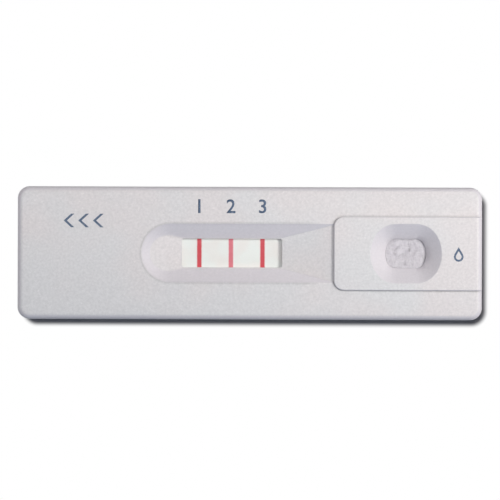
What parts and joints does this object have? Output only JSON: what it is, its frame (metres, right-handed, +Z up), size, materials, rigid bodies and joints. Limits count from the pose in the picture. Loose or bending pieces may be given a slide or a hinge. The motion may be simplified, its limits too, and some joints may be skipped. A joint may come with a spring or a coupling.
{
  "type": "lateral flow cassette",
  "caption": "Flat moulded cassette that holds a layered lateral flow test strip, with a boat-shaped result window and a funnel-shaped sample well on a raised block.",
  "frame": {"origin": "centre of the flat underside of the lower housing", "axes": "+X along the length towards the sample well, +Z up out of the result window, +Y across the width"},
  "size_m": [0.07, 0.02, 0.0054],
  "materials": {
    "housing": "fine matte moulded polystyrene",
    "card": "smooth",
    "membrane": "porous",
    "strong_line": "dye in a porous layer",
    "faint_line": "dye in a porous layer",
    "conjugate": "glass fibre",
    "pad": "fibrous"
  },
  "bodies": {
    "root": {"upper_housing": "housing", "lower_housing": "housing", "backing_card": "card", "membrane": "membrane", "control_line": "strong_line", "reference_line": "faint_line", "test_line": "strong_line", "conjugate_pad": "conjugate", "sample_pad": "pad", "absorbent_pad": "pad"}
  },
  "joints": []
}
